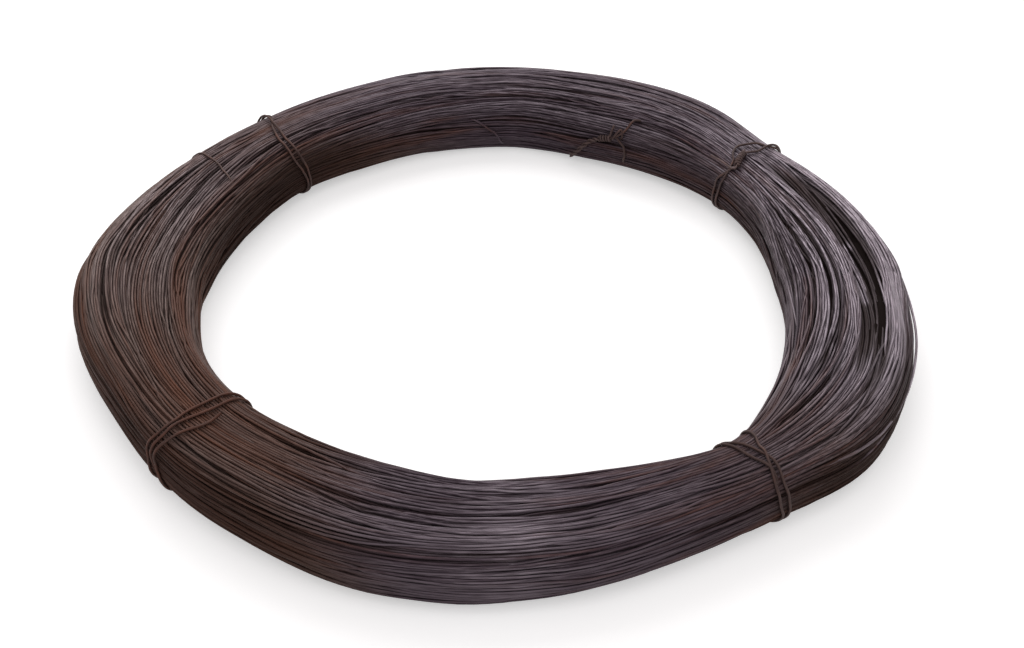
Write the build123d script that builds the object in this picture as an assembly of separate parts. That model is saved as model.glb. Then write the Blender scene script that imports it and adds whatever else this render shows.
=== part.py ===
from build123d import *
import math
import os

# A coil of binding wire lying flat, its axis up and the middle of its bore at the origin.
# Millimetres. It is tied in four places, so the bundle of turns is narrow at each tie
# and swells between them.

# bundle of turns
BORE_RADIUS = 170.0
BUNDLE_WIDTH = 83.0
COIL_HEIGHT = 46.0
BUNDLE_EDGE_RADIUS = 19.0
SETTLED_DEPTH = 1.5

# how the bundle is drawn in at a tie
WAIST_TOP_DRAW = 2.7
WAIST_LIFT = 2.8
WAIST_EDGE_RADIUS = 15.0

# where the ties are, as angles round the coil from +X
BACK_RIGHT_ANGLE = 39.5
BACK_LEFT_ANGLE = 137.5
FRONT_LEFT_ANGLE = 224.0
FRONT_RIGHT_ANGLE = 310.5
THIN_TIE_FROM_BACK_LEFT = 14.0

# how far the turns stand in from the bore's radius and from the coil's radius, at each tie
# and at even steps between the ties
BACK_RIGHT_DRAW = (12.5, 19.0)
BACK_DRAWS = ((12.0, 6.5), (11.0, 6.0), (18.0, 8.5), (13.0, 10.5), (8.5, 15.5))
BACK_LEFT_DRAW = (8.5, 18.0)
LEFT_DRAWS = ((4.5, 16.0), (4.5, 9.5), (7.0, 0.0), (10.0, 4.0), (14.0, 12.0))
FRONT_LEFT_DRAW = (12.0, 12.0)
FRONT_DRAWS = ((9.0, 11.5), (8.0, 8.0), (9.5, 10.0), (8.0, 14.5), (13.0, 20.0))
FRONT_RIGHT_DRAW = (21.0, 18.5)
RIGHT_DRAWS = ((13.5, 5.5), (5.5, 4.0), (1.5, 5.5), (0.0, 9.0), (7.0, 15.0))

# ridges that groups of turns make along the bundle: how many there are round its section,
# how often they wind round it on the way round the coil, where they start, and their height
RIDGES = ((16, -7, 176.0, 1.7), (7, 2, 100.0, 1.3))

# how far down the ridges reach, as the sine of the direction from the bundle's middle
RIDGE_FREE_BELOW = -0.75
RIDGE_FULL_ABOVE = -0.25

# parting between two layers of turns on the right, its place given at its start, middle and end
PARTING_FROM_BORE = (48.5, 46.0, 37.5)
PARTING_WIDTH = 8.0
PARTING_DEPTH = 12.0
PARTING_START = -23.0
PARTING_END = 33.0
PARTING_TIP = 1.0

# tie wire
TIE_WIRE = 1.6
THIN_TIE_WIRE = 1.2
TIE_GAP = 0.35
TIE_SPREAD = 1.15
TIE_RISE = 0.6
BEND_RADIUS = 2.4

# back right tie: one end is wound round the other, which sticks out
KNOT_FROM_BORE = 22.0
KNOT_COILS = 5
KNOT_PITCH = 1.9
KNOT_TURN = 24.0
KNOT_NECK = 8.0
BACK_TAIL_LENGTH = 23.0

# front left tie: one end comes up over the edge and stops on the top
HOOK_START_DEPTH = 20.0
HOOK_SIDESTEP = 7.5
HOOK_REACH = 33.0

# tie on the wall of the bore that holds the inner end of the wire
END_TIE_ANGLE = 68.5
END_TIE_HEIGHT = 28.5
END_TIE_PRESS = 0.25
END_TIE_COILS = 3
END_TIE_PITCH = 1.9
END_TAIL_RUN = 13.0
END_TAIL_DROP = 16.0
END_TAIL_STANDOFF = 4.0
END_TAIL_SPREAD = 1.8
END_HOOK_RUN = 12.0
END_HOOK_RISE = 9.0
END_HOOK_DROP = 14.0

COIL_RADIUS = BORE_RADIUS + BUNDLE_WIDTH
OUTLINE_POINTS = 128
SPAN_STATIONS = (0.0, 0.03, 0.09, 0.17, 0.28, 0.39, 0.5, 0.61, 0.72, 0.83, 0.91, 0.97, 1.0)
PARTING_STATIONS = (0.0, 0.15, 0.35, 0.5, 0.65, 0.85, 1.0)
TIE_ANGLES = (BACK_RIGHT_ANGLE, BACK_LEFT_ANGLE, FRONT_LEFT_ANGLE, FRONT_RIGHT_ANGLE)
TIE_DRAWS = (BACK_RIGHT_DRAW, BACK_LEFT_DRAW, FRONT_LEFT_DRAW, FRONT_RIGHT_DRAW)
SPAN_DRAWS = (BACK_DRAWS, LEFT_DRAWS, FRONT_DRAWS, RIGHT_DRAWS)
WOUND_RADIUS = 0.85 * TIE_WIRE


def mix(first, second, share):
    return first + (second - first) * share


def spans():
    """Start and end angle of each stretch of the coil between two ties."""
    return list(zip(TIE_ANGLES, TIE_ANGLES[1:] + (TIE_ANGLES[0] + 360.0,)))


def draw_stations():
    """Angle, inner draw and outer draw all the way round, starting at the back right tie."""
    stations = []
    for (start, end), tie_draw, draws in zip(spans(), TIE_DRAWS, SPAN_DRAWS):
        for number, (inner_draw, outer_draw) in enumerate((tie_draw,) + draws):
            stations.append((mix(start, end, number / (len(draws) + 1)), inner_draw, outer_draw))
    return stations


def draws_at(angle):
    """Inner and outer draw at an angle, on a smooth curve through the stations."""
    stations = draw_stations()
    count = len(stations)
    start = stations[0][0]
    angle = start + (angle - start) % 360.0
    index = max(number for number in range(count) if stations[number][0] <= angle + 1e-9)
    around = []
    for number in range(index - 1, index + 3):
        station = stations[number % count]
        around.append((station[0] + 360.0 * (number // count), station[1], station[2]))
    return tuple(hermite([(station[0], station[side]) for station in around], angle) for side in (1, 2))


def hermite(points, x):
    """The value at x, between the second and third of four points on a smooth curve."""
    (x0, y0), (x1, y1), (x2, y2), (x3, y3) = points
    step = x2 - x1
    t = (x - x1) / step
    start_slope = (y2 - y0) / (x2 - x0) * step
    end_slope = (y3 - y1) / (x3 - x1) * step
    rise = y2 - y1
    return (
        y1
        + start_slope * t
        + (3 * rise - 2 * start_slope - end_slope) * t**2
        + (start_slope + end_slope - 2 * rise) * t**3
    )


def swell(angle):
    """0 at a tie and 1 halfway to the next one."""
    start = TIE_ANGLES[0]
    angle = start + (angle - start) % 360.0
    first, last = max(span for span in spans() if span[0] <= angle + 1e-9)
    return 0.5 - 0.5 * math.cos(2 * math.pi * (angle - first) / (last - first))


def bundle_section(angle):
    """Inner radius, outer radius, bottom, top and edge radius of the bundle at an angle."""
    share = swell(angle)
    inner_draw, outer_draw = draws_at(angle)
    inner = BORE_RADIUS + inner_draw
    outer = COIL_RADIUS - outer_draw
    bottom = mix(WAIST_LIFT, -SETTLED_DEPTH, share**2)
    top = mix(COIL_HEIGHT - WAIST_TOP_DRAW, COIL_HEIGHT, share)
    edge = mix(WAIST_EDGE_RADIUS, BUNDLE_EDGE_RADIUS, share)
    return inner, outer, bottom, top, min(edge, 0.46 * (top - bottom), 0.46 * (outer - inner))


def radial_plane(angle):
    """The plane through the coil's axis at an angle, with its X outwards and its Y up."""
    turn = math.radians(angle)
    return Plane(
        origin=(0, 0, 0),
        x_dir=(math.cos(turn), math.sin(turn), 0),
        z_dir=(math.sin(turn), -math.cos(turn), 0),
    )


def tight_outline(angle, margin):
    """The bundle's outline at an angle without its ridges, grown on every side by a margin."""
    inner, outer, bottom, top, edge = bundle_section(angle)
    outline = RectangleRounded(outer - inner + 2 * margin, top - bottom + 2 * margin, edge + margin)
    return (radial_plane(angle) * Pos((inner + outer) / 2, (bottom + top) / 2) * outline).face()


def reach_to_outline(half_width, half_height, edge, across, up):
    """From the middle of a rounded rectangle to its outline, along a direction of unit length."""
    across, up = abs(across), abs(up)
    if up * half_width <= across * (half_height - edge):
        return half_width / across
    if across * half_height <= up * (half_width - edge):
        return half_height / up
    corner = (half_width - edge, half_height - edge)
    along = across * corner[0] + up * corner[1]
    return along + math.sqrt(along**2 - corner[0] ** 2 - corner[1] ** 2 + edge**2)


def ridge_draw(angle, turn, up):
    """How far the turns stand in from the outline between ridges; nothing at a tie or underneath."""
    draw = 0.0
    for count, waves, start, height in RIDGES:
        valley = 0.5 + 0.5 * math.cos(count * turn + math.radians(waves * angle + start))
        draw += height * valley**2
    share = (up - RIDGE_FREE_BELOW) / (RIDGE_FULL_ABOVE - RIDGE_FREE_BELOW)
    return draw * swell(angle) * min(1.0, max(0.0, share))


def bundle_outline(angle):
    """The bundle's outline at an angle, with its ridges."""
    inner, outer, bottom, top, edge = bundle_section(angle)
    points = []
    for number in range(OUTLINE_POINTS):
        turn = 2 * math.pi * number / OUTLINE_POINTS
        across, up = math.cos(turn), math.sin(turn)
        reach = reach_to_outline((outer - inner) / 2, (top - bottom) / 2, edge, across, up)
        reach -= ridge_draw(angle, turn, up)
        points.append(((inner + outer) / 2 + reach * across, (bottom + top) / 2 + reach * up))
    evenly = [number / OUTLINE_POINTS for number in range(OUTLINE_POINTS + 1)]
    outline = Edge.make_spline([Vector(*point) for point in points], periodic=True, parameters=evenly)
    return radial_plane(angle) * Face(Wire([outline]))


def parting():
    """The lens-shaped gap that opens between two layers of turns in the top of the right side."""
    start_from_bore, middle_from_bore, end_from_bore = PARTING_FROM_BORE
    slots = []
    for share in PARTING_STATIONS:
        opened = math.sin(math.pi * share)
        half_width = mix(PARTING_TIP, PARTING_WIDTH, opened) / 2
        depth = mix(PARTING_TIP, PARTING_DEPTH, opened)
        straight = mix(start_from_bore, end_from_bore, share)
        bow = 4 * share * (1 - share) * (middle_from_bore - (start_from_bore + end_from_bore) / 2)
        plane = radial_plane(mix(PARTING_START, PARTING_END, share))
        slot = plane * Pos(BORE_RADIUS + straight + bow, COIL_HEIGHT) * Ellipse(half_width, depth)
        slots.append(slot.face())
    return loft(slots)


def make_coil():
    """The bundle of turns as one ring, flat where it has settled on the floor."""
    lengths = []
    for start, end in spans():
        lengths.append(loft([bundle_outline(mix(start, end, share)) for share in SPAN_STATIONS]))
    floor = Pos(0, 0, -SETTLED_DEPTH) * Box(3 * COIL_RADIUS, 3 * COIL_RADIUS, 2 * SETTLED_DEPTH)
    return lengths[0] + lengths[1:] - parting() - floor


def wire_along(path, diameter):
    """A round wire swept along a path."""
    return sweep(Plane(origin=path @ 0, z_dir=path % 0) * Circle(diameter / 2), path=path)


def bent_wire(points, diameter):
    """A round wire with rounded bends at the points between its ends."""
    return wire_along(FilletPolyline(*points, radius=BEND_RADIUS), diameter)


def wound_turns(count, pitch):
    """Turns of tie wire wound round another one that lies on the Z axis."""
    turns = [Pos(0, 0, number * pitch) * Torus(WOUND_RADIUS, TIE_WIRE / 2) for number in range(count)]
    return turns[0] + turns[1:]


def loop_offset(diameter):
    """From the bundle's surface to the middle of a wire drawn round it."""
    return TIE_GAP + diameter / 2


def knot_offset():
    """From the bundle's surface to the middle of a wire that has another wound round it."""
    return TIE_GAP + WOUND_RADIUS + TIE_WIRE / 2


def tie_loop(angle, diameter, sidestep=0.0, rise=0.0):
    """One closed turn of wire round the bundle, turned to pass its sides a sidestep along the turns."""
    inner, outer, *_ = bundle_section(angle)
    middle = radial_plane(angle).from_local_coords(Vector((inner + outer) / 2, 0, 0))
    skew = math.degrees(math.atan2(2 * sidestep, outer - inner))
    path = tight_outline(angle, loop_offset(diameter) + rise).outer_wire()
    return wire_along(path, diameter).rotate(Axis(middle, (0, 0, 1)), skew)


def crossed_loops(angle):
    """Two turns of tie wire, the second crossing the first over and under the bundle."""
    return tie_loop(angle, TIE_WIRE, TIE_SPREAD) + tie_loop(angle, TIE_WIRE, -TIE_SPREAD, TIE_RISE)


def local_frame(angle, radius, height):
    """X outwards, Y along the turns and Z up, at a point of the coil."""
    turn = math.radians(angle)
    outwards = (math.cos(turn), math.sin(turn), 0)
    return Plane(
        origin=(radius * outwards[0], radius * outwards[1], height),
        x_dir=outwards,
        z_dir=(0, 0, 1),
    )


def make_back_right_tie():
    inner, _, _, top, _ = bundle_section(BACK_RIGHT_ANGLE)
    frame = local_frame(BACK_RIGHT_ANGLE, inner + KNOT_FROM_BORE, top + knot_offset())
    wound_length = KNOT_COILS * KNOT_PITCH
    wound = Pos(-KNOT_PITCH, 0, 0) * Rot(0, -90, 0) * wound_turns(KNOT_COILS, KNOT_PITCH)
    bend = -wound_length - KNOT_NECK
    tail = bent_wire([(0, 0, 0), (bend, 0, 0), (bend, BACK_TAIL_LENGTH, 0)], TIE_WIRE)
    return crossed_loops(BACK_RIGHT_ANGLE) + frame * Rot(0, 0, KNOT_TURN) * (wound + tail)


def make_front_left_tie():
    _, outer, _, top, edge = bundle_section(FRONT_LEFT_ANGLE)
    offset = loop_offset(TIE_WIRE)
    frame = local_frame(FRONT_LEFT_ANGLE, outer + offset, top + offset)
    hook = bent_wire(
        [
            (0, 0, -HOOK_START_DEPTH - offset),
            (0, HOOK_SIDESTEP / 2, -edge / 2),
            (-edge / 2, HOOK_SIDESTEP, 0),
            (-HOOK_REACH, HOOK_SIDESTEP, 0),
        ],
        TIE_WIRE,
    )
    return crossed_loops(FRONT_LEFT_ANGLE) + frame * hook


def make_end_tie():
    """Two ends wound together, pressed in between the ridges of the bore's wall, and hooked there."""
    wound_length = END_TIE_COILS * END_TIE_PITCH
    wound_angle = math.degrees(wound_length / BORE_RADIUS)
    inner = min(bundle_section(END_TIE_ANGLE)[0], bundle_section(END_TIE_ANGLE + wound_angle)[0])
    frame = local_frame(END_TIE_ANGLE, inner - knot_offset() + END_TIE_PRESS, END_TIE_HEIGHT)
    wound = Rot(-90, 0, 0) * wound_turns(END_TIE_COILS, END_TIE_PITCH)
    wall_curve = inner - math.sqrt(inner**2 - END_HOOK_RUN**2)
    wall = knot_offset() - loop_offset(TIE_WIRE) - wall_curve
    tail_y = wound_length + END_TAIL_RUN
    upper = bent_wire(
        [
            (-END_TAIL_STANDOFF, tail_y, -END_TAIL_DROP),
            (0, wound_length, 0),
            (0, 0, 0),
            (wall, -END_HOOK_RUN, END_HOOK_RISE),
        ],
        TIE_WIRE,
    )
    second_end = wire_along(
        Line(
            (0, wound_length - TIE_WIRE, TIE_WIRE / 4),
            (-END_TAIL_STANDOFF, tail_y + END_TAIL_SPREAD, END_TAIL_SPREAD - END_TAIL_DROP),
        ),
        TIE_WIRE,
    )
    lower = bent_wire(
        [
            (0, wound_length / 4, 0),
            (wall, -END_HOOK_RUN, -END_HOOK_DROP / 2),
            (wall, -END_HOOK_RUN, -END_HOOK_DROP),
        ],
        TIE_WIRE,
    )
    return frame * (upper + wound + lower + second_end)


def build():
    return {
        "wire_coil": make_coil(),
        "tie_back_right": make_back_right_tie(),
        "tie_back_left": crossed_loops(BACK_LEFT_ANGLE),
        "tie_front_left": make_front_left_tie(),
        "tie_front_right": crossed_loops(FRONT_RIGHT_ANGLE),
        "thin_tie": tie_loop(BACK_LEFT_ANGLE + THIN_TIE_FROM_BACK_LEFT, THIN_TIE_WIRE),
        "end_tie": make_end_tie(),
    }


if __name__ == "__main__":
    os.makedirs("parts", exist_ok=True)
    for name, solid in build().items():
        export_step(solid, f"parts/{name}.step")
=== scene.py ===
import math
import bpy
import numpy as np
from mathutils import Matrix, Vector
from mathutils.bvhtree import BVHTree


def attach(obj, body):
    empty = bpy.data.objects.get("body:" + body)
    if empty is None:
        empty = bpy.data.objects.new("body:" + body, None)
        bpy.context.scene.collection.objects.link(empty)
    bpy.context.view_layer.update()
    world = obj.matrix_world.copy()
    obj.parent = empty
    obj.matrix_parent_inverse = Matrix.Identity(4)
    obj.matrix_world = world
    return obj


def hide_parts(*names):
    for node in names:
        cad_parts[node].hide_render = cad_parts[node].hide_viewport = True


# A flat coil of dark annealed binding wire, lying on a pale floor.
# The bundle's outline is read from the frame. Its outer turns are laid out inside that
# outline, pushed apart until they only touch, and drawn as round wires.

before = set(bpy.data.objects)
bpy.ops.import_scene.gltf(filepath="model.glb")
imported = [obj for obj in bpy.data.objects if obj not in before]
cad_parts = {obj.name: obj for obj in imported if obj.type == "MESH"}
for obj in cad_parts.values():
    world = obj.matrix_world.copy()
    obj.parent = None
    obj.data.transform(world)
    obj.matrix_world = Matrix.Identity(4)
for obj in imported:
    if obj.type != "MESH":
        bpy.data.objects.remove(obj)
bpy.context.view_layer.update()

MM = 0.001
SEED = 11

# slices round the coil and directions in each slice
SLICES = 200
DIRECTIONS = 128

# turns of wire
WIRE = 1.6
TURNS = 400
TURN_SIDES = 5
TURN_PIECES = 5
CONTACT = 1.0 * WIRE
FILL = 0.76

# ties, as angles round the coil from +X
TIE_ANGLES = (39.5, 137.5, 224.0, 310.5)

# gaps in the top: start and end angle, radius at the start, the middle and the end, half width
# and depth; the first is the parting between two layers of turns on the right
TOP_GROOVES = (
    (-22, 34, (216.5, 214.0, 206.0), 4.6, 9.5),
    (-16, 14, (226.0, 224.5, 221.5), 1.6, 5.5),
    (-16, 28, (198.0, 193.5, 187.5), 1.2, 4.5),
    (-8, 26, (186.0, 183.5, 181.0), 1.8, 6.0),
    (-46, -17, (203.0, 208.0, 213.5), 1.2, 3.5),
    (-34, -3, (196.0, 202.5, 205.0), 1.2, 3.5),
    (-30, 6, (187.0, 184.5, 182.0), 1.3, 3.5),
    (2, 30, (203.5, 199.5, 196.0), 1.2, 3.5),
    (-40, -8, (222.0, 231.0, 234.0), 1.2, 3.5),
    (143, 176, (208.0, 205.0, 203.0), 1.8, 4.5),
    (150, 186, (219.0, 221.0, 226.0), 1.2, 3.0),
    (166, 206, (236.0, 235.0, 226.0), 1.4, 3.5),
    (60, 100, (211.0, 207.0, 206.0), 1.2, 3.0),
    (236, 268, (216.0, 222.0, 226.0), 1.4, 3.5),
    (262, 300, (219.0, 213.0, 208.0), 1.2, 3.0),
)

# gaps anywhere: lengths in degrees, drift across the section, half widths and depths
RANDOM_GROOVES = 38
GROOVE_LENGTHS = (30, 90)
GROOVE_DRIFT = 0.15
GROOVE_HALF_WIDTHS = (0.4, 1.0)
GROOVE_DEPTHS = (1.5, 4.0)

# the parting in the frame's outline: start and end angle, radii and half width, and the least
# sine of a direction in which it is bridged over
PARTING = (-26, 36, (218.5, 216.0, 207.5), 7.0)
PARTING_ABOVE = 0.3

# camera, fitted to the photo
CAMERA_TARGET = (7.95, -5.47, 0.0)
CAMERA_DISTANCE = 994.6
CAMERA_ELEVATION = 38.26
CAMERA_ROLL = 1.54
CAMERA_FIELD = 35.0

# floor and light
FLOOR_SIZE = 40
FLOOR_COLOUR = (0.82, 0.82, 0.82)
FLOOR_GLOW = 0.45
SOFT_LIGHT = 0.50
SOFT_LIGHT_COLOUR = (1.0, 0.95, 0.95)

random = np.random.default_rng(SEED)
turn_angles = np.arange(SLICES) * math.tau / SLICES
directions = np.arange(DIRECTIONS) * math.tau / DIRECTIONS
edges = np.append(directions, math.tau)


# The bundle's outline, read from the frame

RAY_HEIGHT = 22.0
RAY_OUT = 400
RAY_UP = 100
RAYS_ACROSS = (-8, 0, 8)


def frame_tree(node):
    """A search tree of a node's faces, in millimetres."""
    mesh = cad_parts[node].data
    points = [vertex.co / MM for vertex in mesh.vertices]
    return BVHTree.FromPolygons(points, [tuple(face.vertices) for face in mesh.polygons])


def hit_distance(tree, origin, direction):
    """Distance along a ray to the first face that it meets."""
    _, _, _, distance = tree.ray_cast(origin, direction)
    return distance


def slice_centre(tree, angle):
    """Radius and height of the section's middle at an angle, and its half sizes."""
    outwards = Vector((math.cos(angle), math.sin(angle), 0))
    up = Vector((0, 0, 1))
    inner = hit_distance(tree, up * RAY_HEIGHT, outwards)
    outer = RAY_OUT - hit_distance(tree, outwards * RAY_OUT + up * RAY_HEIGHT, -outwards)
    middle = (inner + outer) / 2
    across = [outwards * (middle + aside) for aside in RAYS_ACROSS]
    bottom = min(hit_distance(tree, point - up * RAY_UP, up) for point in across) - RAY_UP
    top = RAY_UP - min(hit_distance(tree, point + up * RAY_UP, -up) for point in across)
    return middle, (bottom + top) / 2, (outer - inner) / 2, (top - bottom) / 2


def read_outline():
    """Centres and half sizes of the slices, and the distance to the surface all round."""
    tree = frame_tree("wire_coil")
    centres = np.zeros((SLICES, 2))
    halves = np.zeros((SLICES, 2))
    reach = np.zeros((SLICES, DIRECTIONS))
    for number, angle in enumerate(turn_angles):
        radius, height, half_width, half_height = slice_centre(tree, angle)
        centres[number] = radius, height
        halves[number] = half_width, half_height
        outwards = Vector((math.cos(angle), math.sin(angle), 0))
        origin = outwards * radius + Vector((0, 0, height))
        for index, direction in enumerate(directions):
            ray = outwards * math.cos(direction) + Vector((0, 0, math.sin(direction)))
            reach[number, index] = hit_distance(tree, origin, ray)
    return centres, halves, reach


centres, halves, reach = read_outline()


def near_angles(span):
    """Whether each slice lies between two angles in degrees."""
    start, end = np.radians(span)
    return (turn_angles - start) % math.tau <= end - start


def shares_along(slices, start, end):
    """Each slice's share of the way from one angle to another."""
    return ((np.degrees(turn_angles[slices]) - start) % 360) / (end - start)


def radius_along(radii, share):
    """Radius on a smooth curve through three values."""
    first, middle, last = radii
    radius = first * (1 - share) * (1 - 2 * share) + 4 * middle * share * (1 - share)
    return radius + last * share * (2 * share - 1)


def fill_parting(reach):
    """The outline with the parting bridged over. The turns make their own gap there."""
    filled = reach.copy()
    start, end, radii, half_width = PARTING
    for number in np.flatnonzero(near_angles((start, end))):
        middle = radius_along(radii, shares_along(number, start, end))
        radius = centres[number, 0] + halves[number, 1] / np.tan(directions + 1e-6)
        whole = (np.sin(directions) < PARTING_ABOVE) | (np.abs(radius - middle) > half_width)
        kept = directions[whole], reach[number, whole]
        filled[number] = np.interp(directions, *kept, period=math.tau)
    return filled


reach = fill_parting(reach)


def at_direction(table, direction):
    """Values of a table at a direction for each turn and slice."""
    place = (direction / math.tau * DIRECTIONS) % DIRECTIONS
    first = place.astype(int) % DIRECTIONS
    share = place - np.floor(place)
    rows = np.arange(SLICES)[None, :]
    return table[rows, first] * (1 - share) + table[rows, (first + 1) % DIRECTIONS] * share


def waves(count, low, high):
    """Smooth random curves along a closed turn, each with an rms of about 1."""
    total = np.zeros((count, SLICES))
    orders = np.arange(low, high + 1)
    for order in orders:
        size = random.normal(size=(count, 1))
        shift = random.uniform(0, math.tau, size=(count, 1))
        total += size * np.cos(order * turn_angles[None, :] + shift)
    return total / math.sqrt(len(orders) / 2)


# Ridges and valleys along the bundle's surface

RELIEF_MODES = 46
RELIEF_DEPTH = 1.2
RELIEF_ROUND_SECTION = (5, 20)
RELIEF_ROUND_COIL = (-7, 8)
RELIEF_WANE = 0.06
RELIEF_MIDDLE = 0.45
RELIEF_SWING = 0.55
RELIEF_LIMIT = 2.2
SPREAD = 0.7
TIE_SPAN = 7
TIE_CALM = 0.85

# the right edge, which only loose turns reach
RIGHT_EDGE_ANGLE = -8
RIGHT_EDGE_SPAN = 9
RIGHT_EDGE_DIRECTION = 0.15
RIGHT_EDGE_DEPTH = 3.4


def surface_relief():
    """How far in from the outline the turns lie, for each slice and direction."""
    total = np.zeros((SLICES, DIRECTIONS))
    for _ in range(RELIEF_MODES):
        round_section = random.integers(*RELIEF_ROUND_SECTION)
        round_coil = random.integers(*RELIEF_ROUND_COIL)
        shift = random.uniform(0, math.tau)
        size = random.normal() / math.sqrt(1 + RELIEF_WANE * abs(round_coil))
        phase = round_section * directions[None, :] + round_coil * turn_angles[:, None]
        total += size * np.cos(phase + shift)
    total /= total.std()
    depth = np.clip(RELIEF_MIDDLE + RELIEF_SWING * total, 0, RELIEF_LIMIT)
    return depth / RELIEF_LIMIT * RELIEF_DEPTH


def nearness(angle, span):
    """1 at an angle in degrees and 0 well away from it, for each slice."""
    apart = (turn_angles - math.radians(angle) + math.pi) % math.tau - math.pi
    return np.exp(-(apart / math.radians(span)) ** 2)


def right_edge():
    """How far in from the outline the turns lie at the right edge."""
    along = nearness(RIGHT_EDGE_ANGLE, RIGHT_EDGE_SPAN)
    round_edge = np.clip(np.cos(directions - RIGHT_EDGE_DIRECTION), 0, 1) ** 3
    return RIGHT_EDGE_DEPTH * along[:, None] * round_edge[None, :]


near_tie = np.max([nearness(angle, TIE_SPAN) for angle in TIE_ANGLES], axis=0)
hull = reach + SPREAD * (1 - near_tie[:, None]) - right_edge()
surface = hull - surface_relief() * (1 - TIE_CALM * near_tie[:, None])


# Gaps between groups of turns

GROOVE_TIP = 0.01
CROSSING_SHARE = 0.5
MIDDLE_SHARE = 0.8
MIDDLE_DEPTH = 20
SIDE_SHARE = 0.3
UNDER_SHARE = 0.5


def outline_frames():
    """Points, outward normals and tangents of the outline."""
    rays = np.stack([np.cos(directions), np.sin(directions)], axis=1)
    points = reach[:, :, None] * rays[None, :, :]
    tangents = np.roll(points, -1, axis=1) - np.roll(points, 1, axis=1)
    tangents /= np.linalg.norm(tangents, axis=2, keepdims=True)
    normals = np.stack([tangents[:, :, 1], -tangents[:, :, 0]], axis=2)
    return points, normals, tangents


outline = outline_frames()


def groove(start, end, direction, half_width, depth):
    """One gap: its slices and, for each, its place, frame, half width and depth."""
    slices = np.flatnonzero(near_angles((start, end)))
    share = shares_along(slices, start, end)
    opened = np.sin(math.pi * np.clip(share, GROOVE_TIP, 1 - GROOVE_TIP))
    place = direction(slices, share) / math.tau * DIRECTIONS
    first = np.floor(place).astype(int)
    part = (place - first)[:, None]
    here, ahead = first % DIRECTIONS, (first + 1) % DIRECTIONS
    blended = [table[slices, here] * (1 - part) + table[slices, ahead] * part for table in outline]
    return (slices, *blended, half_width * opened, depth * opened)


def top_direction(slices, radii, share):
    """Direction from the section's centre to a gap's line on the top."""
    return np.arctan2(halves[slices, 1], radius_along(radii, share) - centres[slices, 0])


def make_grooves():
    """The gaps that the top shows, and random ones all round."""
    made = []
    for start, end, radii, half_width, depth in TOP_GROOVES:

        def on_top(slices, share):
            return top_direction(slices, radii, share)

        made.append(groove(start, end, on_top, half_width, depth))
    for _ in range(RANDOM_GROOVES):
        start = random.uniform(0, 360)
        length = random.uniform(*GROOVE_LENGTHS)
        place = random.uniform(0, math.tau)
        drift = random.normal() * GROOVE_DRIFT

        def anywhere(slices, share):
            return place + drift * (share - 0.5)

        half_width = random.uniform(*GROOVE_HALF_WIDTHS)
        depth = random.uniform(*GROOVE_DEPTHS)
        made.append(groove(start, start + length, anywhere, half_width, depth))
    return made


grooves = make_grooves()


def place_at_groove(offset, one_groove):
    """How far each turn is across from a gap's middle and out from its mouth."""
    slices, points, normals, tangents, _, _ = one_groove
    from_gap = offset[:, slices] - points
    return (from_gap * tangents).sum(axis=2), (from_gap * normals).sum(axis=2)


def groove_sides(offset):
    """The side of each gap that each turn keeps to, and whether it stays under it instead."""
    sides = []
    for one_groove in grooves:
        across, out = place_at_groove(offset, one_groove)
        weight = one_groove[4][None, :]
        side = np.sign((across * weight).sum(axis=1, keepdims=True) + 1e-9)
        crossing = (across * side < -CROSSING_SHARE * WIRE) & (out > -one_groove[5] - WIRE)
        if one_groove is grooves[0]:
            widest = weight > MIDDLE_SHARE * weight.max()
            crossing |= (np.abs(across) < MIDDLE_SHARE * weight) & widest & (out > -MIDDLE_DEPTH)
        sides.append((side, crossing.any(axis=1, keepdims=True)))
    return sides


def part_at_grooves(offset, sides):
    """Moves turns out of the gaps, each to its own side or inwards."""
    for one_groove, (side, under) in zip(grooves, sides):
        slices, points, normals, tangents, half_width, depth = one_groove
        across, out = place_at_groove(offset, one_groove)
        wide = half_width + WIRE / 2
        deep = depth + WIRE / 2
        inside = (across / wide) ** 2 + (out / deep) ** 2 < 1
        inside |= under & (np.abs(across) < wide) & (out > -deep)
        across = np.where(under, across, np.maximum(across * side, SIDE_SHARE * wide) * side)
        out = np.where(under, np.minimum(out, -UNDER_SHARE * deep), out)
        grow = 1 / np.sqrt((across / wide) ** 2 + (out / deep) ** 2 + 1e-9)
        grow = np.maximum(1, grow)
        moved = points + (across * grow)[:, :, None] * tangents + (out * grow)[:, :, None] * normals
        offset[:, slices] = np.where(inside[:, :, None], moved, offset[:, slices])
    return offset


# The core, which the drawn turns lie round

CORE_CLEARANCE = 4.5
CORE_RANGE = (40.0, 4.0, -0.5)
CORE_OPEN = 100.0


def core_surface():
    """Distance to the core for each slice and direction, less under the widest gap."""
    areas = (reach**2).sum(axis=1) * math.pi / DIRECTIONS
    share = np.sqrt(1 - TURNS * math.pi * (WIRE / 2) ** 2 / (FILL * areas))
    core = reach * share[:, None]
    slices, points, normals, tangents, half_width, depth = grooves[0]
    rays = np.stack([np.cos(directions), np.sin(directions)], axis=1)
    wide = half_width[:, None] + CORE_CLEARANCE
    deep = depth[:, None] + CORE_CLEARANCE
    lowest = np.full((len(slices), DIRECTIONS), CORE_OPEN)
    for distance in np.arange(*CORE_RANGE):
        from_gap = distance * rays[None, :, :] - points[:, None, :]
        across = (from_gap * tangents[:, None, :]).sum(axis=2) / wide
        out = (from_gap * normals[:, None, :]).sum(axis=2) / deep
        lowest = np.where(across**2 + out**2 < 1, distance, lowest)
    core[slices] = np.minimum(core[slices], lowest)
    return core


core = core_surface()
core_share = (core / reach).max(axis=1)


# Places of the turns

LINE_REACH = 0.045
LINE_FADE = 14
GOLDEN = 0.6180339887

# groups of turns: size, waves round the section, waves round the coil, shift
GROUPS = ((0.006, 3, 2, 0), (0.005, 5, -3, 1))

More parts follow.
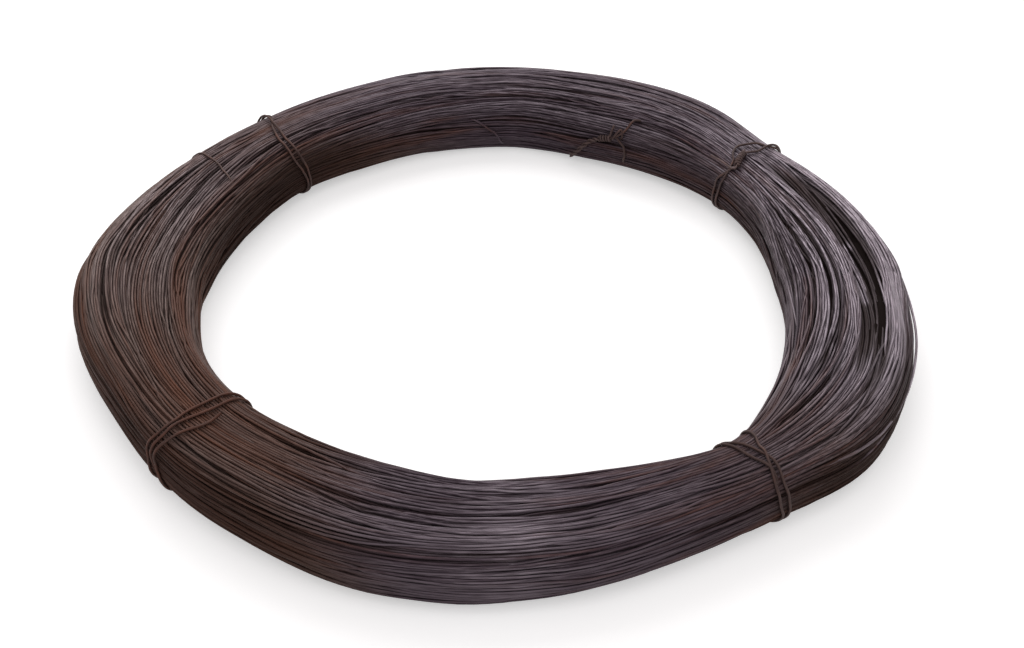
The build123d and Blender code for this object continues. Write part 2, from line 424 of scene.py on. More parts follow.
# how far turns wander round the section, the share of them that does, and in depth
WANDERS = (0.003, 0.008, 0.018)
WANDER_SHARES = (0.5, 0.4, 0.1)
WANDER_WAVES = (1, 4)
WANDER_CALM = 0.85
DEPTH_WANDER = 0.22


def groove_lines(ranks):
    """How far places shift to run beside the gaps, and each gap's own place."""
    lines = []
    for start, end, radii, *_ in TOP_GROOVES:
        span = end - start
        turned = (np.degrees(turn_angles) - start + 180 - span / 2) % 360
        share = (turned - 180) / span + 0.5
        inside = np.clip(share, 0, 1)
        direction = top_direction(slice(None), radii, inside)
        place = np.array([np.interp(turn, edges, row) for turn, row in zip(direction, ranks)])
        outside = np.abs(share - inside) * span
        fade = np.clip(1 - outside / LINE_FADE, 0, 1)
        home = place[(share > 0) & (share < 1)].mean()
        lines.append((home, (place - home) * fade, fade))
    return lines


def area_ranks():
    """The share of each slice's area swept up to each direction."""
    swept = np.cumsum(np.concatenate([np.zeros((SLICES, 1)), reach**2], axis=1), axis=1)
    return swept / swept[:, -1:]


def lay_turns():
    """First places of the turns, which drift slowly round the coil."""
    number = np.arange(TURNS)
    round_section = ((number + 0.5) / TURNS)[:, None]
    depth = ((number * GOLDEN) % 1.0)[:, None]
    phase = math.tau * round_section
    group = sum(
        size * np.cos(across * phase + along * turn_angles + shift)
        for size, across, along, shift in GROUPS
    )
    ranks = area_ranks()
    lines = groove_lines(ranks)
    wander = random.choice(WANDERS, p=WANDER_SHARES, size=(TURNS, 1))
    wander *= 1 - WANDER_CALM * np.exp(-((round_section - lines[0][0]) / LINE_REACH) ** 2)
    place = round_section + group + wander * waves(TURNS, *WANDER_WAVES)
    depth = depth + DEPTH_WANDER * waves(TURNS, *WANDER_WAVES)
    depth = 1 - np.abs((depth % 2) - 1)
    shift = np.zeros((TURNS, SLICES))
    weight = np.zeros((TURNS, SLICES))
    for home, moved, fade in lines:
        near = np.exp(-(((place - home + 0.5) % 1 - 0.5) / LINE_REACH) ** 2)
        shift += near * moved
        weight += near * fade
    place += shift / np.maximum(1, weight)
    direction = np.zeros((TURNS, SLICES))
    for index in range(SLICES):
        direction[:, index] = np.interp(place[:, index] % 1.0, ranks[index], edges)
    share = np.sqrt(core_share**2 + depth * (1 - core_share**2))
    distance = at_direction(surface, direction) * share
    return np.stack([np.cos(direction), np.sin(direction)], axis=2) * distance[:, :, None]


NEIGHBOURS = 12
HULL_SLACK = 0.3
FLOOR_GAP = 0.05


def push_apart(offset, strength):
    """Moves turns that overlap in a slice away from each other."""
    order = np.argsort(np.arctan2(offset[:, :, 1], offset[:, :, 0]), axis=0)[:, :, None]
    ranked = np.take_along_axis(offset, np.repeat(order, 2, axis=2), axis=0)
    moved = np.zeros_like(ranked)
    for step in range(1, NEIGHBOURS + 1):
        apart = np.roll(ranked, -step, axis=0) - ranked
        distance = np.sqrt((apart**2).sum(axis=2)) + 1e-6
        push = np.clip(CONTACT - distance, 0, None) / distance * 0.5 * strength
        push = apart * push[:, :, None]
        moved -= push
        moved += np.roll(push, step, axis=0)
    ranked += moved
    np.put_along_axis(offset, np.repeat(order, 2, axis=2), ranked, axis=0)
    return offset


def keep_inside(offset, proud):
    """Keeps turns between the core and the bundle's surface."""
    direction = np.arctan2(offset[:, :, 1], offset[:, :, 0])
    distance = np.sqrt((offset**2).sum(axis=2)) + 1e-6
    outermost = at_direction(hull, direction) + HULL_SLACK
    limit = np.minimum(at_direction(surface, direction) + proud, outermost) - WIRE / 2
    innermost = at_direction(core, direction) + WIRE / 2
    wanted = np.clip(distance, np.minimum(innermost, limit), limit)
    offset = offset * (wanted / distance)[:, :, None]
    lowest = WIRE / 2 + FLOOR_GAP - centres[None, :, 1]
    offset[:, :, 1] = np.maximum(offset[:, :, 1], lowest)
    return offset


def smooth_along(offset, share):
    """Evens each turn out along its length, as the bundle swells and narrows."""
    scaled = offset / halves[None, :, :]
    evened = (np.roll(scaled, 1, axis=1) + np.roll(scaled, -1, axis=1)) / 2
    return (scaled + share * (evened - scaled)) * halves[None, :, :]


SHARPEST_BEND = 1.6
CALM_STEPS = 60
CALM_SMOOTHING = 0.8
CALM_SPREAD = 2.1
CALM_DIVE = 0.27


def calm_strays(offset):
    """Evens out turns that bend sharply at the widest gap, and takes them to its floor."""
    slices, half_width = grooves[0][0], grooves[0][4]
    bend = np.abs(offset[:, slices] * 2 - offset[:, slices - 1] - offset[:, (slices + 1) % SLICES])
    strays = np.flatnonzero(bend.max(axis=(1, 2)) > SHARPEST_BEND)
    opened = np.zeros(SLICES)
    opened[slices] = half_width / half_width.max()
    near = (opened > 0).astype(float)
    calm = offset[strays]
    for _ in range(CALM_STEPS):
        calm = smooth_along(calm, CALM_SMOOTHING)
        near = np.maximum(near, (np.roll(near, 1) + np.roll(near, -1)) / CALM_SPREAD)
    calm = calm * (1 - CALM_DIVE * opened[None, :, None])
    offset[strays] += near[None, :, None] * (calm - offset[strays])
    return offset


RELAX_STEPS = 70
LAST_STEPS = 4
PULL_HOME = 0.04
PUSH = 0.9
SMOOTHING = 0.5
LAST_SMOOTHING = 0.25
PROUD_SHARE = 0.12
PROUD = 1.0


def settle(offset):
    """Pushes the turns apart until they only touch, inside the bundle and beside the gaps."""
    home = offset.copy()
    sides = groove_sides(offset)
    proud = np.where(random.uniform(size=(TURNS, 1)) < PROUD_SHARE, PROUD, 0.0)
    for step in range(RELAX_STEPS):
        late = step / RELAX_STEPS
        offset += (1 - late) * PULL_HOME * (home - offset)
        offset = push_apart(offset, PUSH)
        last = step >= RELAX_STEPS - LAST_STEPS
        offset = smooth_along(offset, LAST_SMOOTHING if last else SMOOTHING)
        offset = part_at_grooves(offset, sides)
        offset = keep_inside(offset, proud)
    return calm_strays(offset)


turns = settle(lay_turns()) + centres[None, :, :]


# Meshes

MEAN_RADIUS = 211.0
DM = 100  # millimetres in the unit of the patterns
# depth below the surface at which the painted shade, standing for shadow between the turns, is full
PAINTED_SHADE_DEPTH = 4.5


def in_space(radius, angle, height):
    """Points from their radius, angle and height."""
    return np.stack([radius * np.cos(angle), radius * np.sin(angle), height], axis=-1)


def face_map(low_u, high_u, low_v, high_v):
    """Places on the map of the corners of faces that follow each other along u."""
    corners = ((low_u, low_v), (high_u, low_v), (high_u, high_v), (low_u, high_v))
    return np.stack([np.stack(corner, axis=-1) for corner in corners], axis=-2).reshape(-1, 2)


def grid_faces(index, place, corner):
    """Four-cornered faces of a grid, from the numbers of its points."""
    steps = ((0, 0), (1, 0), (1, 1), (0, 1))
    corners = [index(place + ahead, corner + aside) for ahead, aside in steps]
    return np.stack(corners, axis=-1).reshape(-1, 4)


def build_mesh(name, points, faces, uv, attributes):
    """A smooth mesh of four-cornered faces, from points in millimetres."""
    mesh = bpy.data.meshes.new(name)
    mesh.vertices.add(len(points))
    mesh.vertices.foreach_set("co", (points * MM).astype(np.float32).ravel())
    mesh.loops.add(faces.size)
    mesh.loops.foreach_set("vertex_index", faces.astype(np.int32).ravel())
    mesh.polygons.add(len(faces))
    mesh.polygons.foreach_set("loop_start", np.arange(0, faces.size, 4, dtype=np.int32))
    mesh.polygons.foreach_set("loop_total", np.full(len(faces), 4, dtype=np.int32))
    mesh.update(calc_edges=True)
    mesh.shade_smooth()
    layer = mesh.uv_layers.new(name="OFBake")
    layer.data.foreach_set("uv", uv.astype(np.float32).ravel())
    for attribute, values in attributes.items():
        data = mesh.attributes.new(attribute, "FLOAT_VECTOR", "POINT").data
        data.foreach_set("vector", values.astype(np.float32).ravel())
    piece = bpy.data.objects.new(name, mesh)
    bpy.context.scene.collection.objects.link(piece)
    return piece


# rust round the coil, and painted light: angle, rust on the top, the outer wall and the inner wall,
# painted sheen (a painted highlight, strongest on the right, with a narrow painted glint near 273),
# and painted shade darkening the outer and the inner wall
RUST_AND_PAINTED_LIGHT = (
    (0, 0.05, 0.30, 0.35, 1.20, 0.15, 0.45),
    (25, 0.10, 0.30, 0.40, 1.20, 0.10, 0.60),
    (50, 0.18, 0.30, 0.35, 0.45, 0.15, 0.30),
    (90, 0.12, 0.25, 0.15, 0.40, 0.15, 0.00),
    (115, 0.20, 0.50, 0.50, 0.35, 0.25, 0.25),
    (140, 0.40, 0.85, 1.00, 0.35, 0.25, 0.90),
    (165, 0.40, 1.00, 1.00, 0.70, 0.20, 0.90),
    (190, 0.50, 1.00, 0.80, 0.50, 0.40, 0.25),
    (215, 0.70, 1.00, 0.60, 0.20, 0.65, 0.10),
    (240, 0.50, 0.90, 0.45, 0.25, 0.60, 0.10),
    (264, 0.10, 0.10, 0.30, 0.30, 0.00, 0.10),
    (273, 0.00, 0.00, 0.30, 0.65, 0.00, 0.10),
    (281, 0.10, 0.10, 0.30, 0.30, 0.00, 0.10),
    (305, 0.30, 0.30, 0.30, 0.15, 0.30, 0.10),
    (320, 0.35, 0.75, 0.30, 0.45, 0.90, 0.20),
    (342, 0.10, 0.60, 0.35, 0.95, 0.85, 0.30),
)
# how rust and the painted sheen change from the top to the walls, how rust and painted shade divide
# between the outer and the inner wall, where the painted wall shade starts, and how much painted
# sheen is lost down the walls
TOP_FADE = (0.4, 0.85)
OUTWARD_FADE = 0.5
EDGE_FADE = (0.72, 0.4)
PAINTED_SHEEN_LOSS_BELOW = 0.6


def rust_and_painted_light_at(angle, direction, depth):
    """Rust, painted sheen (a highlight that fades down the walls) and painted shade (darker deeper
    below the surface and on the walls) at points of the bundle.
    """
    turn = np.degrees(angle) % 360
    stations, *columns = np.array(RUST_AND_PAINTED_LIGHT).T
    values = [np.interp(turn, stations, column, period=360) for column in columns]
    rust_top, rust_outer, rust_inner, painted_sheen, painted_shade_outer, painted_shade_inner = values
    down = 1 - np.clip(TOP_FADE[0] + TOP_FADE[1] * np.sin(direction), 0, 1)
    outward = np.clip(OUTWARD_FADE + np.cos(direction), 0, 1)
    rust = rust_top * (1 - down) + down * (rust_outer * outward + rust_inner * (1 - outward))
    edge = np.clip((EDGE_FADE[0] - np.sin(direction)) / EDGE_FADE[1], 0, 1)
    painted_wall_shade = edge * (painted_shade_outer * outward + painted_shade_inner * (1 - outward))
    # painted shade: darker deeper below the surface and on the walls
    painted_shade = np.clip(np.maximum(depth / PAINTED_SHADE_DEPTH, 0) + painted_wall_shade, 0, 1)
    return np.stack(np.broadcast_arrays(rust, painted_sheen * (1 - PAINTED_SHEEN_LOSS_BELOW * down), painted_shade), axis=-1)


MAP_ROWS = 4
MAP_FILL = 0.9
RUN_START = 977.0


def turns_piece(name, paths, tones):
    """A mesh of closed turns, one round tube for each path."""
    count = len(paths)
    roll = random.uniform(0, math.tau, size=(count, 1, 1))
    side = roll + np.arange(TURN_SIDES)[None, None, :] * math.tau / TURN_SIDES
    radius = paths[:, :, 0:1] + WIRE / 2 * np.cos(side)
    height = paths[:, :, 1:2] + WIRE / 2 * np.sin(side)
    angle = np.broadcast_to(turn_angles[None, :, None], radius.shape)
    numbers = np.arange(count), np.arange(SLICES), np.arange(TURN_SIDES)
    turn, place, corner = np.meshgrid(*numbers, indexing="ij")

    def index(place, corner):
        return (turn * SLICES + place % SLICES) * TURN_SIDES + corner % TURN_SIDES

    faces = grid_faces(index, place, corner)
    row = turn * MAP_ROWS + place * MAP_ROWS // SLICES
    along = (place * MAP_ROWS / SLICES) % 1.0
    across = corner / TURN_SIDES
    strip = 1 / (count * MAP_ROWS)
    low = (row + MAP_FILL * across) * strip
    high = (row + MAP_FILL * (across + 1 / TURN_SIDES)) * strip
    uv = face_map(along, along + MAP_ROWS / SLICES, low, high)
    run = angle * radius + RUN_START * random.uniform(size=(count, 1, 1))
    tone = np.broadcast_to(tones[:, None, None], radius.shape)
    wire = np.stack([tone, run / DM, side - roll + 0 * tone], axis=-1)
    ring = np.stack([angle * MEAN_RADIUS, radius, height], axis=-1) / DM
    offset = paths - centres[None, :, :]
    direction = np.arctan2(offset[:, :, 1], offset[:, :, 0])
    # depth below the surface, which sets the painted shade
    depth = at_direction(hull, direction) - np.sqrt((offset**2).sum(axis=2)) - WIRE
    rust_and_painted_light = rust_and_painted_light_at(np.broadcast_to(turn_angles, direction.shape), direction, depth)
    rust_and_painted_light = np.repeat(rust_and_painted_light[:, :, None, :], TURN_SIDES, axis=2)
    points = in_space(radius, angle, height).reshape(-1, 3)
    return build_mesh(name, points, faces, uv, {"wire": wire, "ring": ring, "rust_and_painted_light": rust_and_painted_light})


RIDGES = 60
RIDGE_SIDES = 4
RIDGE_HEIGHT = 0.45
RIDGE_SWAY = 1.5
CORE_TONE = 0.2
CORE_SWAY = (7, 5)


def core_piece(name):
    """The turns further in, as one ring with a ridge for each of them."""
    count = RIDGES * RIDGE_SIDES
    around = np.arange(count) * math.tau / count
    direction = np.broadcast_to(around[:, None], (count, SLICES))
    sway = RIDGE_SWAY * np.sin(2 * turn_angles)[None, :]
    bump = RIDGE_HEIGHT * np.abs(np.cos(RIDGES / 2 * direction + sway))
    distance = at_direction(core, direction) + bump
    radius = centres[None, :, 0] + distance * np.cos(direction)
    height = centres[None, :, 1] + distance * np.sin(direction)
    angle = np.broadcast_to(turn_angles[None, :], radius.shape)
    strip, place = np.meshgrid(np.arange(count), np.arange(SLICES), indexing="ij")

    def index(place, strip):
        return strip % count * SLICES + place % SLICES

    faces = grid_faces(index, place, strip)
    u, v = place / SLICES, strip / count
    uv = face_map(u, u + 1 / SLICES, v, v + 1 / count)
    tone = CORE_TONE + 0 * radius
    run = angle * MEAN_RADIUS / DM + CORE_SWAY[0] * np.sin(CORE_SWAY[1] * direction)
    wire = np.stack([tone, run, direction], axis=-1)
    ring = np.stack([angle * MEAN_RADIUS, radius, height], axis=-1) / DM
    points = in_space(radius, angle, height).reshape(-1, 3)
    # the core takes the full painted shade
    rust_and_painted_light = rust_and_painted_light_at(angle, direction, PAINTED_SHADE_DEPTH)
    return build_mesh(name, points, faces, uv, {"wire": wire, "ring": ring, "rust_and_painted_light": rust_and_painted_light})


# Points on the bundle's surface

STRAND_STEP = 0.8
ROUTE_SCALE = (MEAN_RADIUS, 30.0, 1.0)
FEWEST_POINTS = 8


def table_at(table, angle, direction):
    """Values of a table at any angles and directions."""
    place = np.degrees(angle) / 360 * SLICES
    turn = direction / math.tau * DIRECTIONS
    first, second = np.floor(place).astype(int), np.floor(turn).astype(int)
    share = (place - first)[:, None]
    part = (turn - second)[:, None]
    rows = (first % SLICES, (first + 1) % SLICES)
    columns = (second % DIRECTIONS, (second + 1) % DIRECTIONS)
    low = table[rows[0], columns[0]] * (1 - part) + table[rows[0], columns[1]] * part
    high = table[rows[1], columns[0]] * (1 - part) + table[rows[1], columns[1]] * part
    return low * (1 - share) + high * share


def section_at(angle):
    """Centre and half sizes of the section at an angle in degrees."""
    number = round(angle / 360 * SLICES) % SLICES
    return (*centres[number], *halves[number])


def direction_to(angle, side, value):
    """Direction to a radius on the top or the underside, or to a height on a wall."""
    radius, height, half_width, half_height = section_at(angle)
    if side == "top":
        return math.atan2(half_height, value - radius)
    if side == "under":
        return math.atan2(-half_height, value - radius)
    return math.atan2(value - height, half_width if side == "outer" else -half_width)


def curve_through(places, values, samples):
    """A smooth curve through values at rising places."""
    slopes = np.gradient(values, places, axis=0)
    index = np.clip(np.searchsorted(places, samples, side="right") - 1, 0, len(places) - 2)
    step = (places[index + 1] - places[index])[:, None]
    t = (samples[:, None] - places[index][:, None]) / step
    rise = values[index + 1] - values[index]
    start = slopes[index] * step
    end = slopes[index + 1] * step
    bend = 3 * rise - 2 * start - end
    twist = start + end - 2 * rise
    return values[index] + start * t + bend * t**2 + twist * t**3


def follow(route, step=STRAND_STEP):
    """Points and outward directions along a route."""
    knots = []
    for angle, side, value, lift in route:
        direction = direction_to(angle, side, value)
        if knots:
            direction += math.tau * round((knots[-1][1] - direction) / math.tau)
        knots.append((math.radians(angle), direction, lift))
    knots = np.array(knots)
    moves = np.diff(knots, axis=0) * ROUTE_SCALE
    places = np.concatenate([[0], np.cumsum(np.linalg.norm(moves, axis=1))])
    samples = np.linspace(0, places[-1], max(FEWEST_POINTS, int(places[-1] / step)))
    angle, direction, lift = curve_through(places, knots, samples).T
    return on_bundle(angle, direction, lift)


def on_bundle(angle, direction, lift):
    """Points at a lift off the surface, and the directions out of it."""
    points, normals, _ = outline
    centre = table_at(np.repeat(centres[:, None, :], DIRECTIONS, axis=1), angle, direction)
    normal = table_at(normals, angle, direction)
    place = centre + table_at(points, angle, direction) + normal * lift[:, None]
    outwards = in_space(normal[:, 0], angle, normal[:, 1])
    return in_space(place[:, 0], angle, place[:, 1]), outwards


def run_along(points):
    """Length along a path up to each of its points."""
    return np.concatenate([[0], np.cumsum(np.linalg.norm(np.diff(points, axis=0), axis=1))])


def frames_along(points, outwards):
    """Unit vectors out of the surface and across a path."""
    along = np.gradient(points, axis=0)
    along /= np.linalg.norm(along, axis=1, keepdims=True)
    out = outwards - (outwards * along).sum(axis=1, keepdims=True) * along
    out /= np.linalg.norm(out, axis=1, keepdims=True)
    return out, np.cross(along, out)


def wound(points, outwards, radius, pitch, start=0.0):
    """A wire wound round a path."""
    out, across = frames_along(points, outwards)
    turn = (start + run_along(points) / pitch * math.tau)[:, None]
    return points + radius * (np.cos(turn) * out + np.sin(turn) * across), outwards


def finer(points, outwards, factor=6):
    """The same path with more points."""
    places = np.arange(len(points), dtype=float)
    samples = np.linspace(0, len(points) - 1, len(points) * factor)
    return curve_through(places, points, samples), curve_through(places, outwards, samples)


STRAND_SIDES = 8
START_CAP = np.array([(3, 2, 1, 0), (7, 4, 3, 0), (7, 6, 5, 4)])
END_CAP = np.array([(0, 1, 2, 3), (0, 3, 4, 7), (4, 5, 6, 7)])
CAP_MAP = 0.002
STRAND_RUN = 131.0


def strand_index(corner, place):
    """Number of a point on a round wire."""
    return place * STRAND_SIDES + corner % STRAND_SIDES


def strands_piece(name, strands, diameter=WIRE):
    """A mesh of round wires with closed ends, one along each path."""
    made = []
    first = 0
    for number, (points, outwards) in enumerate(strands):
        out, across = frames_along(points, outwards)
        side = np.arange(STRAND_SIDES) * math.tau / STRAND_SIDES
        turned = side[None, :, None]
        spokes = np.cos(turned) * out[:, None, :] + np.sin(turned) * across[:, None, :]
        rings = points[:, None, :] + diameter / 2 * spokes

        count = len(points)
        numbers = np.arange(count - 1), np.arange(STRAND_SIDES)
        place, corner = np.meshgrid(*numbers, indexing="ij")
        faces = grid_faces(strand_index, corner, place)
        caps = START_CAP, END_CAP + (count - 1) * STRAND_SIDES

        low, high = number / len(strands), (number + MAP_FILL) / len(strands)
        u = np.stack([place, place, place + 1, place + 1], axis=-1) / (count - 1)
        v = np.stack([corner, corner + 1, corner + 1, corner], axis=-1) / STRAND_SIDES
        wall_uv = np.stack([u, low + (high - low) * v], axis=-1).reshape(-1, 2)
        ends = len(START_CAP) + len(END_CAP)
        cap_uv = np.tile(face_map(0, CAP_MAP, high, high + CAP_MAP), (ends, 1))

        run = (run_along(points)[:, None] + STRAND_RUN * number) / DM
        wire = np.stack(np.broadcast_arrays(random.uniform(), run, side), axis=-1)
        angle = np.repeat(np.arctan2(points[:, 1], points[:, 0]), STRAND_SIDES)
        faces = np.concatenate([faces, *caps]) + first
        uv = np.concatenate([wall_uv, cap_uv])
        rust_and_painted_light = rust_and_painted_light_at(angle, math.pi / 4, 0 * angle)
        made.append((rings.reshape(-1, 3), faces, uv, wire.reshape(-1, 3), rust_and_painted_light))
        first += count * STRAND_SIDES
    points, faces, uv, wire, rust_and_painted_light = (np.concatenate(part) for part in zip(*made))
    return build_mesh(name, points, faces, uv, {"wire": wire, "ring": points / DM, "rust_and_painted_light": rust_and_painted_light})


# Ties

ON = WIRE / 2 + 0.1
OVER = ON + WIRE
LOW = 12
KNOT_RADIUS = 0.98 * WIRE
KNOT_PITCH = 1.9
PAIR_RADIUS = 0.52 * WIRE
PAIR_PITCH = 9.0
THIN_WIRE = 1.2
LOOSE_STEP = 3.0


def on(side, *places):
    """Knots of a route on one side: angle, side, radius or height, and lift."""
    return [(angle, side, value, *(lift or [ON])) for angle, value, *lift in places]


def round_the_back(angle, spread=0.0):
    """A loop's way down the outer wall, under the bundle and up the wall of the bore."""
    radius = section_at(angle)[0]
    return [
        *on("outer", (angle + spread, LOW)),
        *on("under", (angle + spread / 2, radius + LOW), (angle, radius - LOW)),
        *on("inner", (angle - spread / 2, LOW)),
    ]


def front_left_tie():
    """Three turns, the last with an end that hooks over the outer edge."""
    route = [
        *on("top", (225.6, 205.5, ON + 2.6), (225.4, 209.5, ON + 0.6), (225.3, 215.5),
            (224.6, 225.5), (224.1, 234.5)),
        *on("outer", (223.2, 34, OVER), (222.8, 24)),
        *round_the_back(222.6, 0.6),
        *on("inner", (222.0, 30)),
        *on("top", (221.5, 192), (221.4, 206), (221.5, 218.5), (222.0, 228), (221.9, 238)),
        *on("outer", (221.0, 34), (220.9, 24)),
        *round_the_back(221.8, -1.0),
        *on("inner", (223.2, 30)),
        *on("top", (223.3, 191), (223.2, 207), (222.7, 221), (222.7, 229, ON + 0.3),
            (222.7, 238)),
        *on("outer", (222.0, 35), (221.8, 27), (223.1, 19), (223.9, 8)),
        *on("under", (224.0, 238, 0.0)),
    ]
    return [follow(route)]


def front_right_tie():
    """Turns that cross each other on the top."""
    route = [
        *on("inner", (313.0, 34, -1.0)),
        *on("top", (312.8, 196), (312.4, 203), (311.3, 210), (310.6, 216.8, OVER), (309.8, 223)),
        *on("outer", (308.9, 38), (309.2, 30), (309.9, 20)),
        *round_the_back(310.2, 0.4),
        *on("inner", (309.0, 30)),
        *on("top", (308.6, 196), (309.6, 203.8), (310.4, 213), (310.6, 222, ON + 0.6)),
        *on("outer", (310.2, 38), (310.8, 27), (311.4, 16)),
        *round_the_back(310.8, 1.0)[1:],
        *on("inner", (308.0, 28)),
        *on("top", (308.0, 199), (308.4, 208), (308.8, 216), (309.6, 224, ON - 0.4)),
        *on("outer", (309.5, 36, -1.2)),
    ]
    return [follow(route)]


def back_left_tie():
    """Two turns that lie close together."""
    route = [
        *on("outer", (135.2, 24, -1.0), (135.2, 34)),
        *on("top", (135.3, 222), (136.6, 214.8), (138.4, 203), (139.5, 193)),
        *on("inner", (139.9, 36), (138.7, 28), (137.4, 18)),
        *on("under", (137.0, 190), (137.2, 220)),
        *on("outer", (136.6, 12), (136.0, 30)),
        *on("top", (135.9, 224, OVER), (136.4, 215.5, OVER), (137.2, 203), (138.3, 191)),
        *on("inner", (138.5, 37, OVER), (137.3, 28), (136.6, 18)),
        *on("under", (136.4, 192), (136.4, 214, -0.6)),
    ]
    return [follow(route)]


def back_right_tie():
    """An arc over the top, and a knot whose free end lies on the bundle."""
    arc = [
        *on("outer", (37.4, 22, -1.0), (37.6, 34)),
        *on("top", (38.2, 221.5), (39.6, 218, ON + 0.5), (40.6, 211, ON + 0.6),
            (41.0, 203.5, ON + 0.6), (40.2, 197, ON + 0.4), (38.4, 191)),
        *on("inner", (37.6, 37), (38.2, 28), (39.0, 16)),
        *on("under", (39.4, 196), (39.0, 214)),
        *on("outer", (38.6, 12), (38.0, 28)),
        *on("top", (37.7, 219, OVER), (37.9, 212), (38.4, 206.5, ON + 0.3)),
    ]
    middle = on(
        "top", (38.4, 206.5, ON + 0.3), (38.5, 202, ON + 1.2), (38.0, 197.5, ON + 1.6),
        (37.2, 192.5, ON + 1.6), (36.5, 188.5, ON + 1.4),
    )
    tail = [
        *middle,
        *on("top", (36.3, 186.0, ON + 1.4), (37.0, 184.2, ON + 1.2), (38.2, 183.6, ON + 1.2),
            (40.0, 183.9, ON + 1.6), (42.9, 183.4, ON + 2.4)),
    ]
    winding = finer(*follow(middle[1:]))
    second = [
        *on("top", (36.7, 189.5)),
        *on("inner", (38.2, 37), (39.3, 32), (39.8, 24), (40.2, 14)),
        *on("under", (40.4, 200), (40.4, 216, -0.6)),
    ]
    knot = wound(*winding, KNOT_RADIUS, KNOT_PITCH)
    return [follow(arc), follow(tail), knot, follow(second)]


def thin_tie():
    """One thin turn."""
    route = [
        *on("top", (156.0, 187, -2.2), (155.4, 191, 0.3), (154.0, 198.5, 0.7), (152.3, 208, 0.7),
            (151.4, 217, 0.7), (150.8, 226, 0.7)),
        *on("outer", (150.6, 30, 0.7), (150.9, 12, 0.7)),
        *on("under", (151.3, 220, 0.7), (151.6, 208, 0.7), (151.8, 200, -1.5)),
    ]
    return [follow(route)]


def end_tie():
    """A twisted pair with a knot, its ends spread on the wall of the bore."""
    stem = on(
        "inner", (75.5, 11, ON + 4.0), (73.8, 16, ON + 2.8), (72.0, 20.5, ON + 1.9),
        (70.3, 25, ON + 1.6), (69.0, 28.3, ON + 1.6), (67.5, 29.2, ON + 1.6),
        (66.4, 29.8, ON + 1.5),
    )
    pair = finer(*follow(stem[:5]), factor=4)
    knot = finer(*follow(stem[4:]), factor=8)
    up = [
        *stem[5:],
        *on("inner", (65.0, 32.5, ON + 1.2), (63.6, 36.5, ON + 0.7)),
        *on("top", (62.4, 186), (61.2, 190, -1.5)),
    ]
    down = on(
        "inner", (66.4, 30, ON + 1.0), (65.2, 31, ON + 0.8), (64.2, 28.5, ON + 1.2),
        (63.2, 24, ON + 1.0), (62.9, 19.5, ON + 0.4), (63.3, 14.5), (63.6, 8, -1.5),
    )
    bit = on("inner", (66.6, 31.0, ON + 1.8), (66.3, 34.0, ON + 2.2), (66.0, 38.5, ON + 2.6))
    loop = on(
        "inner", (65.9, 30.0, ON + 2.2), (65.0, 34.5, ON + 2.4), (64.3, 36.5, ON + 1.6),
        (63.9, 33.0, ON + 0.6), (64.4, 29.0, -0.6),
    )
    return [
        wound(*pair, PAIR_RADIUS, PAIR_PITCH),
        wound(*pair, PAIR_RADIUS, PAIR_PITCH, math.pi),
        wound(*knot, WIRE, KNOT_PITCH),
        follow(stem[4:] + up[2:]),
        follow(down),
        follow(bit),
        follow(loop),
    ]


def loose_ends():
    """Two turns that stand off the right edge, and a stray end on the wall of the bore."""
    stray = on(
        "inner", (98.0, 30, -1.2), (96.0, 27), (93.5, 21.5, ON + 0.6), (91.6, 15, ON + 1.2),
        (90.6, 11, ON + 1.8),
    )
    first = on(
        "outer", (-44, 36, -1.5), (-36, 34, 0.4), (-27, 31, -0.6), (-18, 29, 0.0),
        (-10, 30, -0.2), (-2, 33, -1.2), (8, 35, -1.2),
    )
    second = on(
        "outer", (-52, 22, -1.2), (-38, 24, -1.0), (-26, 26, -1.8), (-15, 27, -1.6),
        (-6, 28, -1.2), (6, 29, -1.2),
    )
    return [follow(route, LOOSE_STEP) for route in (stray, first, second)]


TONE_SPAN = 25
TONE_SCATTER = 0.5


def group_tones():
    """A tone from 0 to 1 for each turn round the section, much the same within a group."""
    scattered = random.normal(size=TURNS + TONE_SPAN - 1)
    lasting = np.convolve(scattered, np.hanning(TONE_SPAN), "valid")
    tones = lasting / lasting.std() + TONE_SCATTER * random.normal(size=TURNS)
    return np.argsort(np.argsort(tones)) / TURNS


# Materials

METALLIC = 0.3
BUMP_STRENGTH = 0.25
BUMP_DISTANCE = 0.0002
DULL_ROUGHNESS = 0.2
# roughness added with the painted shade, and how far and how dark the painted shade takes the
# colour
PAINTED_SHADE_ROUGHNESS = 0.25
PAINTED_SHADE_SHARE = 0.85
PAINTED_SHADE_DARKNESS = 0.4

# how fine the patterns are: along the coil, across and up, or by tone, along and round a wire
PATCHES = (0.5, 12.0, 12.0)
STREAKS = (37.0, 3.0, 0.4)
FLECKS = (91.0, 12.0, 1.2)

# what each pattern adds to rust and to the painted sheen, a painted highlight
RUST_FROM = {"patches": 1.2, "streaks": 0.6, "tone": 0.15, "rust_and_painted_light": 0.6}
PAINTED_SHEEN_FROM = {"tone": -0.4, "flecks": 1.2}

# where each change starts and ends, and what the speckle runs from and to
RUST_RANGE = (1.05, 1.8)
PAINTED_SHEEN_RANGE = (0.1, 0.75)
WEATHERED_RANGE = (0.15, 0.6)
DULL_RANGE = (0.2, 1.0)
SPECKLE_RANGE = (0.3, 0.75, 0.75, 1.15)


def add_node(tree, kind, inputs=None, **settings):
    """A new node, whose inputs take values or another node's output."""
    node = tree.nodes.new("ShaderNode" + kind)
    for key, value in settings.items():
        setattr(node, key, value)
    for name, value in (inputs or {}).items():
        if isinstance(value, bpy.types.NodeSocket):
            tree.links.new(value, node.inputs[name])
        else:
            node.inputs[name].default_value = value
    return node


def new_material(name):
    """A material with an empty node tree."""
    material = bpy.data.materials.new(name)
    material.use_nodes = True
    material.node_tree.nodes.clear()
    return material, material.node_tree


